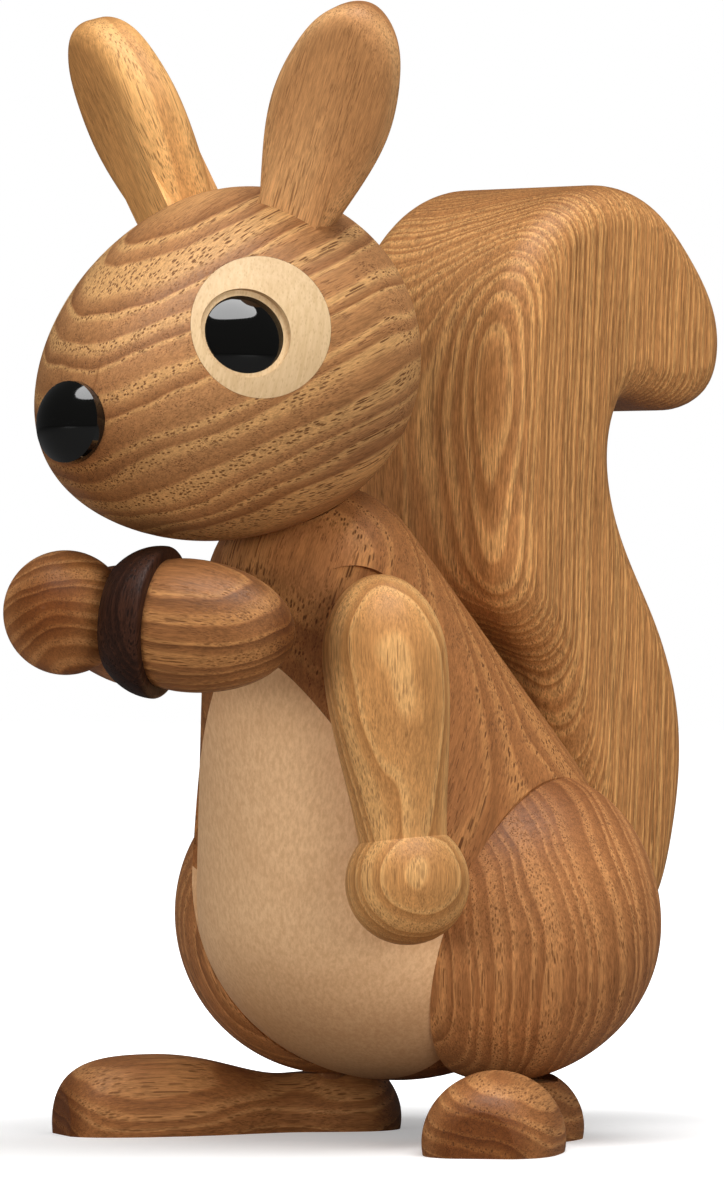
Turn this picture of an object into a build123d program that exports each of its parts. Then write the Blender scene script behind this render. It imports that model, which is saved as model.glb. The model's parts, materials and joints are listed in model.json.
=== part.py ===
"""Jointed wooden squirrel that sits up and holds an acorn, sizes in millimetres.

+Z is up, the squirrel looks along -Y and its left side is +X.
The origin lies on the surface it stands on, under the middle of its bounding box.
"""
import os
from math import acos, asin, cos, degrees, radians, sin, sqrt, tan

from build123d import *

# Torso: a pear turned on a spine that leans forward
torso_setback = 9.9
torso_height = 38.9
torso_lean = 24.6
torso_radius = 31.7
torso_squash_share = 0.95
chest_radius = 16.9
chest_rise = 47.1
neck_seat_radius = 8.8
belly_seam_forward = 18.2

# Thighs: domes glued to flats on the torso's round lower half
thigh_flat_distance = 20.9
thigh_dome_height = 21.6
thigh_fullness_share = 0.485
thigh_turn_back = 11.7
thigh_turn_down = 19.4

# Feet: turned pins, cut flat along the sole
foot_length = 54.2
foot_toe_radius = 4.8
foot_ball_radius = 10.2
foot_ball_station = 14.6
foot_waist_radius = 7.1
foot_waist_station = 37.0
foot_heel_radius = 8.8
foot_heel_station = 46.0
foot_axis_height = 1.8
foot_toe_out = 40.9
foot_toe_ahead = 31.5
foot_splay = 30.5
foot_seat_height = 8.7
foot_seat_station = 42.4
foot_seat_inward = 3.2
foot_seat_radius = 8.6
foot_toe_round = 0.8

# Tail: a thick board sawn to an S and rounded over
tail_width = 37.0
tail_rise = 105.7
tail_reach = 58.8
tail_edge_radius = 6.5
tail_flat_distance = 25.4
tail_flat_tilt = 21.0
tail_crook_radius = 1.6
tail_foot_radius = 3.0
tail_seat_length = 43.6
tail_seat_drop = 20.6
tail_front_shares = (
    (0.190, 0.338), (0.100, 0.388), (0.066, 0.502), (0.066, 0.644), (0.078, 0.750), (0.150, 0.875), (0.340, 0.974)
)
tail_curl_shares = (
    (0.517, 1.000), (0.700, 0.983), (0.876, 0.908), (0.992, 0.802), (0.947, 0.702), (0.833, 0.677), (0.700, 0.683)
)
tail_crook_shares = (0.575, 0.686)
tail_back_shares = (
    (0.526, 0.597), (0.563, 0.518), (0.716, 0.383), (0.818, 0.252), (0.832, 0.181), (0.798, 0.053), (0.709, -0.056)
)

# Head: an egg turned on an axis that dips towards the nose
head_rise_on_spine = 85.6
head_dip = 20.0
head_radius = 25.4
head_front_length = 41.9
head_back_length = 26.1
snout_waist_share = 0.56
snout_tip_share = 0.37

# Ears: leaf-shaped boards with a round tenon
ear_length = 36.3
ear_width = 18.0
ear_thickness = 9.2
ear_edge_radius = 3.6
ear_base_out = 10.0
ear_base_forward = 1.6
ear_base_rise = 18.9
ear_lean_out = 28.2
ear_lean_forward = 5.9
ear_turn_out = 24.0
ear_sunk_length = 8.0
ear_tenon_radius = 2.5
ear_tenon_length = 7.0
ear_leaf_shares = ((0.55, 0), (0.82, 0.25), (1, 0.52), (0.88, 0.75), (0.56, 0.92), (0, 1))

# Eyes: maple plugs with a black bead sunk in each
eye_turn_forward = 45.0
eye_rise = 3.8
eye_ring_radius = 10.4
eye_floor_distance = 21.0
eye_bead_out = 18.9
eye_bead_forward = 22.0
eye_bead_rise = 3.1
eye_bead_turn_forward = 31.7
eye_bead_turn_up = 17.1
eye_sink_radius = 6.8
eye_sink_depth = 1.5
eye_rim_round = 0.4

# Nose, and the button shape that it shares with the eye beads
nose_forward = 39.9
nose_drop = 10.0
nose_turn_up = 4.3
nose_seat_depth = 1.7
bead_radius = 5.93
bead_dome_height = 2.8
bead_peg_radius = 2.5
bead_peg_length = 3.0

# Arms: one turned pattern with a ball for a hand
shoulder_station = 47.4
shoulder_forward = 12.6
shoulder_out = 22.1
shoulder_pin_forward = 20.5
shoulder_pin_rise = 5.5
hand_radius = 9.1
wrist_radius = 6.5
forearm_radius = 7.6
forearm_station = 15.6
arm_radius = 9.2
arm_full_station = 32.5
arm_shoulder_station = 37.3
arm_top_station = 45.4
arm_left_swing = 3.5
arm_right_swing = -93.8
arm_flat_depth = 0.9
arm_seat_radius = 10.2

# Acorn, held on the inner side of the right hand
nut_radius = 9.7
nut_seam_radius = 9.3
nut_full_station = 3.6
nut_length = 19.9
nut_spigot_radius = 6.0
nut_spigot_length = 3.0
cap_radius = 10.8
cap_height = 7.2
cap_foot_radius = 4.6
cap_rim_round = 0.8

# Dowels and fits
neck_dowel_radius = 4.0
neck_dowel_depth = 12.0
shoulder_dowel_radius = 3.0
shoulder_dowel_depth = 9.0
arm_dowel_depth = 6.0
acorn_dowel_radius = 2.0
acorn_dowel_depth = 3.0
foot_dowel_radius = 2.5
foot_dowel_depth = 6.0
thigh_dowel_radius = 4.0
thigh_dowel_depth = 8.0
tail_dowel_radius = 3.0
tail_dowel_depth = 9.0
tail_dowel_spread = 16.0
dowel_end_gap = 0.5
glue_gap = 0.03
running_gap = 0.06
turning_gap = 0.3

# Quarter curve that comes nearest to an ellipse
round_share = 0.5523

up = Vector(0, 0, 1)
left = Vector(1, 0, 0)
lean = radians(torso_lean)
spine = Vector(0, -sin(lean), cos(lean))
chest_front = Vector(0, -cos(lean), -sin(lean))
torso_centre = Vector(0, torso_setback, torso_height)
finished = []


def lathe_plane(centre, along, side):
    """Plane of a turned profile: local y runs along the turning axis and local x points to the side."""
    return Plane(origin=centre, x_dir=side, z_dir=side.cross(along))


def square_to(along):
    """A level direction square to the given one."""
    return along.cross(up).normalized()


def aimed(turn_forward, turn_up):
    """Direction out of the left side, turned forward and up by the given angles."""
    forward = radians(turn_forward)
    rise = radians(turn_up)
    return Vector(cos(rise) * cos(forward), -cos(rise) * sin(forward), sin(rise))


def mirrored(place):
    """The same direction or place on the right side."""
    return Vector(-place.X, place.Y, place.Z)


def hanging(pin):
    """Direction in which an arm hangs from its pin."""
    return (pin * up.dot(pin) - up).normalized()


def rounded_end(radius, waist, tip, fullness=round_share):
    """Quarter curve from the waist, parallel to the turning axis there, to a round tip on the axis."""
    rise = tip - waist
    return Bezier((radius, waist), (radius, waist + rise * fullness), (radius * fullness, tip), (0, tip))


def finish(part, name):
    """Keep a finished piece under its name."""
    part.label = name
    finished.append(part)


def finish_pair(part, name):
    """Keep a left piece and its mirror image on the right."""
    finish(part, f"{name}_left")
    with BuildPart() as right_piece:
        mirror(part, about=Plane.YZ)
    finish(right_piece.part, f"{name}_right")


def dowel(joint, along, radius, below, above):
    """Round dowel for a bore that reaches below and above its joint."""
    with BuildPart() as pin:
        with BuildSketch(Plane(origin=joint - along * (below - dowel_end_gap), z_dir=along)):
            Circle(radius)
        extrude(amount=below + above - dowel_end_gap * 2)
    return pin.part


# Torso blank: squashed sphere, tangent cone and round chest, cut off square for the neck
neck_seat_rise = chest_rise + sqrt(chest_radius**2 - neck_seat_radius**2)
with BuildPart() as torso_blank:
    with BuildSketch(lathe_plane(torso_centre, spine, left)):
        with BuildLine():
            seat_turn = degrees(acos(neck_seat_radius / chest_radius))
            taper_turn = degrees(asin((torso_radius - chest_radius) / chest_rise))
            bottom = rounded_end(torso_radius, 0, -torso_radius * torso_squash_share)
            belly_arc = CenterArc((0, 0), torso_radius, 0, taper_turn)
            chest_arc = CenterArc((0, chest_rise), chest_radius, taper_turn, seat_turn - taper_turn)
            Line(belly_arc @ 1, chest_arc @ 0)
            Polyline(chest_arc @ 1, (0, neck_seat_rise), bottom @ 1)
        make_face()
    revolve(axis=Axis(torso_centre, spine))

# Seats on the torso: neck, belly seam, thigh flats, tail flat and shoulders
neck_seat = torso_centre + spine * neck_seat_rise
belly_seam = Plane(origin=torso_centre + chest_front * belly_seam_forward, x_dir=left, z_dir=chest_front)
thigh_out = aimed(-thigh_turn_back, -thigh_turn_down)
thigh_seat = torso_centre + thigh_out * thigh_flat_distance
thigh_flat_radius = sqrt(torso_radius**2 - thigh_flat_distance**2)
tail_tilt = radians(tail_flat_tilt)
tail_out = Vector(0, cos(tail_tilt), sin(tail_tilt))
tail_seat = torso_centre + tail_out * tail_flat_distance
shoulder = torso_centre + spine * shoulder_station + chest_front * shoulder_forward + left * shoulder_out
pin_out = aimed(shoulder_pin_forward, shoulder_pin_rise)
arm_seat = shoulder - pin_out * (arm_radius - arm_flat_depth)

with BuildPart() as torso_cut:
    add(torso_blank.part)
    for seat, out in ((thigh_seat, thigh_out), (mirrored(thigh_seat), mirrored(thigh_out)), (tail_seat, tail_out)):
        split(bisect_by=Plane(origin=seat, z_dir=out), keep=Keep.BOTTOM)
    for seat, out in ((arm_seat, pin_out), (mirrored(arm_seat), mirrored(pin_out))):
        with BuildSketch(Plane(origin=seat - out * turning_gap, x_dir=hanging(out), z_dir=out)):
            with Locations((arm_shoulder_station / 2, 0)):
                SlotCenterToCenter(arm_shoulder_station, arm_seat_radius * 2)
        extrude(amount=torso_radius, mode=Mode.SUBTRACT)
        with BuildSketch(Plane(origin=seat, z_dir=out)):
            Circle(shoulder_dowel_radius + running_gap)
        extrude(amount=-shoulder_dowel_depth - turning_gap, mode=Mode.SUBTRACT)

with BuildPart() as torso:
    add(torso_cut.part)
    split(bisect_by=belly_seam, keep=Keep.BOTTOM)
    with BuildSketch(Plane(origin=neck_seat, z_dir=spine)):
        Circle(neck_dowel_radius + glue_gap)
    extrude(amount=-neck_dowel_depth, mode=Mode.SUBTRACT)
    for seat, out in ((thigh_seat, thigh_out), (mirrored(thigh_seat), mirrored(thigh_out))):
        with BuildSketch(Plane(origin=seat, z_dir=out)):
            Circle(thigh_dowel_radius + glue_gap)
        extrude(amount=-thigh_dowel_depth, mode=Mode.SUBTRACT)
    with BuildSketch(Plane(origin=tail_seat, x_dir=left, z_dir=tail_out)):
        with GridLocations(0, tail_dowel_spread, 1, 2):
            Circle(tail_dowel_radius + glue_gap)
    extrude(amount=-tail_dowel_depth, mode=Mode.SUBTRACT)
finish(torso.part, "torso")

with BuildPart() as belly_inlay:
    add(torso_cut.part)
    split(bisect_by=belly_seam, keep=Keep.TOP)
finish(belly_inlay.part, "belly_inlay")

# Thighs, with a flat under each for its foot
foot_back = Vector(-sin(radians(foot_splay)), cos(radians(foot_splay)), 0)
foot_toe = Vector(foot_toe_out, torso_setback - foot_toe_ahead, foot_axis_height)
foot_inward = foot_back.cross(up) * -1
foot_joint = foot_toe + foot_back * foot_seat_station + foot_inward * foot_seat_inward
foot_joint = Vector(foot_joint.X, foot_joint.Y, foot_seat_height)

with BuildPart() as thigh:
    with BuildSketch(lathe_plane(thigh_seat, thigh_out, square_to(thigh_out))):
        with BuildLine():
            dome = rounded_end(thigh_flat_radius, 0, thigh_dome_height, thigh_fullness_share)
            Polyline(dome @ 1, (0, 0), dome @ 0)
        make_face()
    revolve(axis=Axis(thigh_seat, thigh_out))
    split(bisect_by=Plane.XY.offset(foot_seat_height), keep=Keep.TOP)
    with BuildSketch(Plane(origin=thigh_seat, z_dir=thigh_out)):
        Circle(thigh_dowel_radius + glue_gap)
    extrude(amount=thigh_dowel_depth, mode=Mode.SUBTRACT)
    with BuildSketch(Plane(origin=foot_joint, z_dir=up)):
        Circle(foot_dowel_radius + glue_gap)
    extrude(amount=foot_dowel_depth, mode=Mode.SUBTRACT)
finish_pair(thigh.part, "thigh")

# Feet
with BuildPart() as foot:
    with BuildSketch(lathe_plane(foot_toe, foot_back, up)):
        with BuildLine():
            toe_arc = Spline(
                (foot_toe_radius, 0), (foot_ball_radius, foot_ball_station), tangents=((1, 0.35), (0, 1))
            )
            instep = Spline(
                (foot_ball_radius, foot_ball_station),
                (foot_waist_radius, foot_waist_station),
                (foot_heel_radius, foot_heel_station),
                tangents=((0, 1), (0, 1)),
            )
            heel = rounded_end(foot_heel_radius, foot_heel_station, foot_length)
            Polyline(heel @ 1, (0, 0), toe_arc @ 0)
        make_face()
    revolve(axis=Axis(foot_toe, foot_back))
    fillet(foot.edges().sort_by_distance(foot_toe)[0], radius=foot_toe_round)
    split(bisect_by=Plane.XY, keep=Keep.TOP)
    with BuildSketch(Plane(origin=foot_joint, z_dir=up)):
        Circle(foot_seat_radius)
    extrude(amount=foot_seat_height, mode=Mode.SUBTRACT)
    with BuildSketch(Plane(origin=foot_joint, z_dir=up)):
        Circle(foot_dowel_radius + glue_gap)
    extrude(amount=-foot_dowel_depth, mode=Mode.SUBTRACT)
finish_pair(foot.part, "foot")
finish_pair(dowel(foot_joint, up, foot_dowel_radius, foot_dowel_depth, foot_dowel_depth), "foot_dowel")
finish_pair(dowel(thigh_seat, thigh_out, thigh_dowel_radius, thigh_dowel_depth, thigh_dowel_depth), "thigh_dowel")

# Tail, drawn from the side: local x runs back from the torso's centre and local y up
tail_side = Plane(origin=torso_centre, x_dir=(0, 1, 0), z_dir=(1, 0, 0))
seat_along = Vector(-sin(tail_tilt), cos(tail_tilt))
seat_middle = Vector(tail_flat_distance * cos(tail_tilt), tail_flat_distance * sin(tail_tilt))
seat_bottom = seat_middle - seat_along * tail_seat_drop
seat_top = seat_bottom + seat_along * tail_seat_length


def tail_points(shares):
    """Outline points from shares of the tail's reach and rise."""
    return [(tail_reach * across, tail_rise * high) for across, high in shares]


with BuildPart() as tail:
    with BuildSketch(tail_side):
        with BuildLine():
            crook = tail_points([tail_crook_shares])[0]
            Line(seat_bottom, seat_top)
            Spline(seat_top, *tail_points(tail_front_shares + tail_curl_shares), crook)
            Spline(crook, *tail_points(tail_back_shares), seat_bottom)
        make_face()
    extrude(amount=tail_width / 2, both=True)
    crook_edge = tail.edges().filter_by(Axis.X).sort_by_distance(tail_side.from_local_coords(crook))[0]
    fillet(crook_edge, radius=tail_crook_radius)
    seat_edge = tail.edges().filter_by(Axis.X).sort_by_distance(tail_side.from_local_coords(seat_top))[0]
    fillet(seat_edge, radius=tail_foot_radius)
    tail_sides = tail.faces().sort_by(Axis.X)
    fillet(tail_sides[0].edges() + tail_sides[-1].edges(), radius=tail_edge_radius)
    with BuildSketch(Plane(origin=tail_seat, x_dir=left, z_dir=tail_out)):
        with GridLocations(0, tail_dowel_spread, 1, 2):
            Circle(tail_dowel_radius + glue_gap)
    extrude(amount=tail_dowel_depth, mode=Mode.SUBTRACT)
finish(tail.part, "tail")

with BuildPart() as tail_dowels:
    with BuildSketch(Plane(origin=tail_seat - tail_out * (tail_dowel_depth - dowel_end_gap), x_dir=left, z_dir=tail_out)):
        with GridLocations(0, tail_dowel_spread, 1, 2):
            Circle(tail_dowel_radius)
    extrude(amount=(tail_dowel_depth - dowel_end_gap) * 2)
finish(tail_dowels.part, "tail_dowels")

# Head blank, turned on the snout's axis
dip = radians(head_dip)
snout = Vector(0, -cos(dip), -sin(dip))
brow = Vector(0, -sin(dip), cos(dip))
head_centre = torso_centre + spine * head_rise_on_spine
with BuildPart() as head_blank:
    with BuildSketch(lathe_plane(head_centre, snout, left)):
        with BuildLine():
            skull = rounded_end(head_radius, 0, -head_back_length)
            face = Bezier(
                (head_radius, 0),
                (head_radius, head_front_length * snout_waist_share),
                (head_radius * snout_tip_share, head_front_length),
                (0, head_front_length),
            )
            Line(face @ 1, skull @ 1)
        make_face()
    revolve(axis=Axis(head_centre, snout))

# Ears, coped to the skull around a round tenon
ear_base = head_centre + Vector(ear_base_out, -ear_base_forward, ear_base_rise)
ear_along = Vector(tan(radians(ear_lean_out)), -tan(radians(ear_lean_forward)), 1).normalized()
ear_side = ear_along.cross(Vector(sin(radians(ear_turn_out)), -cos(radians(ear_turn_out)), 0)).normalized()
ear_front = ear_side.cross(ear_along)
ear_back = ear_base - ear_front * (ear_thickness / 2)
with BuildPart() as ear:
    with BuildSketch(Plane(origin=ear_back, x_dir=ear_side, z_dir=ear_front)):
        with BuildLine():
            outer_side = [(ear_width / 2 * wide, ear_length * high) for wide, high in ear_leaf_shares]
            inner_side = [(-across, rise) for across, rise in reversed(outer_side[:-1])]
            leaf = Spline(*outer_side, *inner_side)
            Polyline(leaf @ 1, leaf @ 1 - (0, ear_sunk_length), leaf @ 0 - (0, ear_sunk_length), leaf @ 0)
        make_face()
    extrude(amount=ear_thickness)
    leaf_edges = ear.edges().filter_by(GeomType.BSPLINE)
    fillet(leaf_edges, radius=ear_edge_radius)
    add(head_blank.part, mode=Mode.SUBTRACT)
    with BuildSketch(Plane(origin=ear_base - ear_along * ear_tenon_length, z_dir=ear_along)):
        Circle(ear_tenon_radius)
    extrude(amount=ear_tenon_length * 2)
finish_pair(ear.part, "ear")

# Beads: a shallow dome on a peg, for the eyes and the nose


def bead(seat, out, skirt):
    """Black button on its seat, with a straight skirt below the dome."""
    dome_radius = (bead_radius**2 + bead_dome_height**2) / (bead_dome_height * 2)
    dome_turn = degrees(acos(bead_radius / dome_radius))
    with BuildPart() as button:
        with BuildSketch(lathe_plane(seat, out, square_to(out))):
            with BuildLine():
                cap = CenterArc((0, skirt + bead_dome_height - dome_radius), dome_radius, dome_turn, 90 - dome_turn)
                Polyline(
                    cap @ 1,
                    (0, -bead_peg_length),
                    (bead_peg_radius, -bead_peg_length),
                    (bead_peg_radius, 0),
                    (bead_radius, 0),
                    cap @ 0,
                )
            make_face()
        revolve(axis=Axis(seat, out))
    return button.part


# Eyes: a plug flush with the skull and a bead sunk in it
eye_out = aimed(eye_turn_forward, 0)
eye_floor = head_centre + up * eye_rise + eye_out * eye_floor_distance
bead_out = aimed(eye_bead_turn_forward, eye_bead_turn_up)
bead_seat = head_centre + Vector(eye_bead_out, -eye_bead_forward, eye_bead_rise) - bead_out * eye_sink_depth
finish_pair(bead(bead_seat, bead_out, 0), "eye_bead")

with BuildPart() as eye_ring:
    with BuildSketch(Plane(origin=eye_floor, z_dir=eye_out)):
        Circle(eye_ring_radius)
    extrude(amount=head_front_length)
    add(head_blank.part, mode=Mode.INTERSECT)
    with BuildSketch(Plane(origin=bead_seat, z_dir=bead_out)):
        Circle(eye_sink_radius)
    extrude(amount=head_front_length, mode=Mode.SUBTRACT)
    with BuildSketch(Plane(origin=bead_seat, z_dir=bead_out)):
        Circle(bead_peg_radius + glue_gap)
    extrude(amount=-bead_peg_length - dowel_end_gap, mode=Mode.SUBTRACT)
finish_pair(eye_ring.part, "eye_ring")

nose_out = Vector(0, -cos(radians(nose_turn_up)), sin(radians(nose_turn_up)))
nose_seat = head_centre - Vector(0, nose_forward, nose_drop) - nose_out * nose_seat_depth
with BuildPart() as nose_turned:
    add(bead(nose_seat, nose_out, nose_seat_depth))
finish(nose_turned.part, "nose_bead")

with BuildPart() as head:
    add(head_blank.part)
    split(bisect_by=Plane(origin=neck_seat + spine * turning_gap, z_dir=spine), keep=Keep.TOP)
    with BuildSketch(Plane(origin=neck_seat, z_dir=spine)):
        Circle(neck_dowel_radius + running_gap)
    extrude(amount=neck_dowel_depth + turning_gap, mode=Mode.SUBTRACT)
    for floor, out in ((eye_floor, eye_out), (mirrored(eye_floor), mirrored(eye_out))):
        with BuildSketch(Plane(origin=floor, z_dir=out)):
            Circle(eye_ring_radius + glue_gap)
        extrude(amount=head_front_length, mode=Mode.SUBTRACT)
    for base, along in ((ear_base, ear_along), (mirrored(ear_base), mirrored(ear_along))):
        with BuildSketch(Plane(origin=base - along * (ear_tenon_length + dowel_end_gap), z_dir=along)):
            Circle(ear_tenon_radius + glue_gap)
        extrude(amount=ear_tenon_length * 2, mode=Mode.SUBTRACT)
    with BuildSketch(Plane(origin=nose_seat, z_dir=nose_out)):
        Circle(bead_radius + glue_gap)
    extrude(amount=head_front_length, mode=Mode.SUBTRACT)
    with BuildSketch(Plane(origin=nose_seat, z_dir=nose_out)):
        Circle(bead_peg_radius + glue_gap)
    extrude(amount=-bead_peg_length - dowel_end_gap, mode=Mode.SUBTRACT)
finish(head.part, "head")
finish(dowel(neck_seat, spine, neck_dowel_radius, neck_dowel_depth, neck_dowel_depth), "neck_dowel")


def turned_arm(swing):
    """Left arm swung about its shoulder pin, with the hand's centre."""
    reach = hanging(pin_out).rotate(Axis((0, 0, 0), pin_out), swing)
    hand = shoulder + reach * arm_shoulder_station
    with BuildPart() as arm:
        with BuildSketch(lathe_plane(hand, -reach, pin_out)):
            with BuildLine():
                wrist_turn = degrees(acos(wrist_radius / hand_radius))
                ball = CenterArc((0, 0), hand_radius, -90, wrist_turn + 90)
                forearm = Spline(
                    ball @ 1,
                    (forearm_radius, forearm_station),
                    (arm_radius, arm_full_station),
                    tangents=((arm_radius - wrist_radius, arm_full_station), (0, 1)),
                )
                top = rounded_end(arm_radius, arm_full_station, arm_top_station)
                Line(top @ 1, ball @ 0)
            make_face()
        revolve(axis=Axis(hand, reach))
        split(bisect_by=Plane(origin=arm_seat, z_dir=pin_out), keep=Keep.TOP)
        with BuildSketch(Plane(origin=arm_seat, z_dir=pin_out)):
            Circle(shoulder_dowel_radius + glue_gap)
        extrude(amount=arm_dowel_depth, mode=Mode.SUBTRACT)
    return arm.part, hand


arm_left, hand_left = turned_arm(arm_left_swing)
finish(arm_left, "arm_left")
finish_pair(dowel(arm_seat, pin_out, shoulder_dowel_radius, shoulder_dowel_depth, arm_dowel_depth), "shoulder_dowel")

# Right arm, drawn on the left and mirrored, with the acorn on the hand's inner side
arm_raised, hand_raised = turned_arm(arm_right_swing)
acorn_along = -pin_out
acorn_seat = hand_raised + acorn_along * (arm_radius - arm_flat_depth)
acorn_seam = acorn_seat + acorn_along * cap_height
with BuildPart() as holding_arm:
    add(arm_raised)
    with BuildSketch(Plane(origin=acorn_seat, z_dir=acorn_along)):
        Circle(acorn_dowel_radius + glue_gap)
    extrude(amount=-acorn_dowel_depth, mode=Mode.SUBTRACT)
with BuildPart() as arm_right:
    mirror(holding_arm.part, about=Plane.YZ)
finish(arm_right.part, "arm_right")

with BuildPart() as cap_drawn:
    with BuildSketch(lathe_plane(acorn_seat, acorn_along, square_to(acorn_along))):
        with BuildLine():
            cup = rounded_end(cap_radius, cap_height, 0)
            Polyline(cup @ 1, (0, cap_height), cup @ 0)
        make_face()
    revolve(axis=Axis(acorn_seat, acorn_along))
    fillet(cap_drawn.edges().filter_by(GeomType.CIRCLE).sort_by(SortBy.RADIUS)[-1], radius=cap_rim_round)
    with BuildSketch(Plane(origin=acorn_seam, z_dir=acorn_along)):
        Circle(nut_spigot_radius + glue_gap)
    extrude(amount=-nut_spigot_length - dowel_end_gap, mode=Mode.SUBTRACT)
    with BuildSketch(Plane(origin=acorn_seat, z_dir=acorn_along)):
        Circle(acorn_dowel_radius + glue_gap)
    extrude(amount=acorn_dowel_depth, mode=Mode.SUBTRACT)
with BuildPart() as acorn_cap:
    mirror(cap_drawn.part, about=Plane.YZ)
finish(acorn_cap.part, "acorn_cap")

with BuildPart() as nut_drawn:
    with BuildSketch(lathe_plane(acorn_seam, acorn_along, square_to(acorn_along))):
        with BuildLine():
            shell = rounded_end(nut_radius, nut_full_station, nut_length)
            swell = Spline(
                (nut_seam_radius, 0),
                (nut_radius, nut_full_station),
                tangents=((nut_radius - nut_seam_radius, nut_full_station / 2), (0, 1)),
            )
            Polyline(
                shell @ 1,
                (0, -nut_spigot_length),
                (nut_spigot_radius, -nut_spigot_length),
                (nut_spigot_radius, 0),
                swell @ 0,
            )
        make_face()
    revolve(axis=Axis(acorn_seam, acorn_along))
with BuildPart() as acorn_nut:
    mirror(nut_drawn.part, about=Plane.YZ)
finish(acorn_nut.part, "acorn_nut")
with BuildPart() as acorn_dowel:
    mirror(
        dowel(acorn_seat, acorn_along, acorn_dowel_radius, acorn_dowel_depth, acorn_dowel_depth), about=Plane.YZ
    )
finish(acorn_dowel.part, "acorn_dowel")

os.makedirs("parts", exist_ok=True)
for piece in finished:
    export_step(piece, f"parts/{piece.label}.step")
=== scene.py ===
import json
import math

import bmesh
import bpy
from mathutils import Matrix, Vector

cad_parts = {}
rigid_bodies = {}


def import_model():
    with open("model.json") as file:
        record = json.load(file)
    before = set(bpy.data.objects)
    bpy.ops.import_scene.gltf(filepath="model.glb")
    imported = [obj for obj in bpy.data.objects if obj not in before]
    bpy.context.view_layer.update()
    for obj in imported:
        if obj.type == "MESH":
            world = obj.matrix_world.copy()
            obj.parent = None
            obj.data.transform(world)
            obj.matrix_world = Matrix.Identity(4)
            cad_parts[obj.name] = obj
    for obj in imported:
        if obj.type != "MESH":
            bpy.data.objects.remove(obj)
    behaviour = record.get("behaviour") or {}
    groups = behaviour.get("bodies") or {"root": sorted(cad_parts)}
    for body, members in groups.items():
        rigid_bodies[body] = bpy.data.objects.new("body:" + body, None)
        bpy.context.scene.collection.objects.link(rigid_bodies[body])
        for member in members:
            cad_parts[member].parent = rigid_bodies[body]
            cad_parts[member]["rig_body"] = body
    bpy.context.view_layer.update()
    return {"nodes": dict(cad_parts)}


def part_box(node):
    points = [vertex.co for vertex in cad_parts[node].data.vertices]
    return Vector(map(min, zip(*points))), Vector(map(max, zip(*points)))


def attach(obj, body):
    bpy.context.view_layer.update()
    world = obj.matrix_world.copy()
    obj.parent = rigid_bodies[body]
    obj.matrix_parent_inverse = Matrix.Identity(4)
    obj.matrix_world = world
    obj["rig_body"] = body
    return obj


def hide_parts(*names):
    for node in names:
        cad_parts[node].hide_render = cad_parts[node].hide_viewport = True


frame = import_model()
cadNodes = frame["nodes"]
print("Squirrel frame loaded with", len(cadNodes), "pieces")

mmPerMetre = 1000
noiseRange = (0.3, 0.7)  # most of a noise lies between these


def tone(red, green, blue):
    # a colour as a picture editor gives it, 0 to 255, made linear for a socket
    levels = [level / 255 for level in (red, green, blue)]
    linear = [v / 12.92 if v <= 0.04045 else ((v + 0.055) / 1.055) ** 2.4 for v in levels]
    return (*linear, 1)


def fill(tree, socket, value):
    # a link where the value is another socket, a plain setting where it is a number or a colour
    if isinstance(value, bpy.types.NodeSocket):
        tree.links.new(value, socket)
    else:
        socket.default_value = value


def reckon(tree, operation, first, second=0.0, third=0.0):
    node = tree.nodes.new("ShaderNodeMath")
    node.operation = operation
    for socket, value in zip(node.inputs, (first, second, third)):
        fill(tree, socket, value)
    return node.outputs["Value"]


def times(tree, first, second):
    return reckon(tree, "MULTIPLY", first, second)


def timesPlus(tree, first, second, added):
    return reckon(tree, "MULTIPLY_ADD", first, second, added)


def softStep(tree, value, start, end, low=0.0, high=1.0):
    # low before start, high after end, and a smooth slope between them
    node = tree.nodes.new("ShaderNodeMapRange")
    node.interpolation_type = "SMOOTHSTEP"
    fill(tree, node.inputs["Value"], value)
    fill(tree, node.inputs["From Min"], start)
    fill(tree, node.inputs["From Max"], end)
    fill(tree, node.inputs["To Min"], low)
    fill(tree, node.inputs["To Max"], high)
    return node.outputs["Result"]


def mixTones(tree, share, first, second, way="MIX"):
    # a Mix node has sockets for each kind of data: 6, 7 and output 2 are those for colours
    node = tree.nodes.new("ShaderNodeMix")
    node.data_type = "RGBA"
    node.blend_type = way
    fill(tree, node.inputs[0], share)
    fill(tree, node.inputs[6], first)
    fill(tree, node.inputs[7], second)
    return node.outputs[2]


def joinAxes(tree, axes):
    node = tree.nodes.new("ShaderNodeCombineXYZ")
    for socket, value in zip(node.inputs, axes):
        fill(tree, socket, value)
    return node.outputs["Vector"]


def stretch(tree, axes, paces):
    # each axis at its own pace, so that a texture runs longer along the grain than across it
    return joinAxes(tree, [times(tree, axis, pace) for axis, pace in zip(axes, paces)])


def splitColor(tree, color):
    node = tree.nodes.new("ShaderNodeSeparateColor")
    fill(tree, node.inputs[0], color)
    return node.outputs


def cloudNoise(tree, place, scale, detail=2.0, roughness=0.5):
    node = tree.nodes.new("ShaderNodeTexNoise")
    fill(tree, node.inputs["Vector"], place)
    node.inputs["Scale"].default_value = scale
    node.inputs["Detail"].default_value = detail
    node.inputs["Roughness"].default_value = roughness
    return node


def cells(tree, place):
    # distance to the nearest of many scattered points, and that point's own random colour
    node = tree.nodes.new("ShaderNodeTexVoronoi")
    fill(tree, node.inputs["Vector"], place)
    node.inputs["Scale"].default_value = 1
    node.inputs["Randomness"].default_value = 1
    return node


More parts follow.
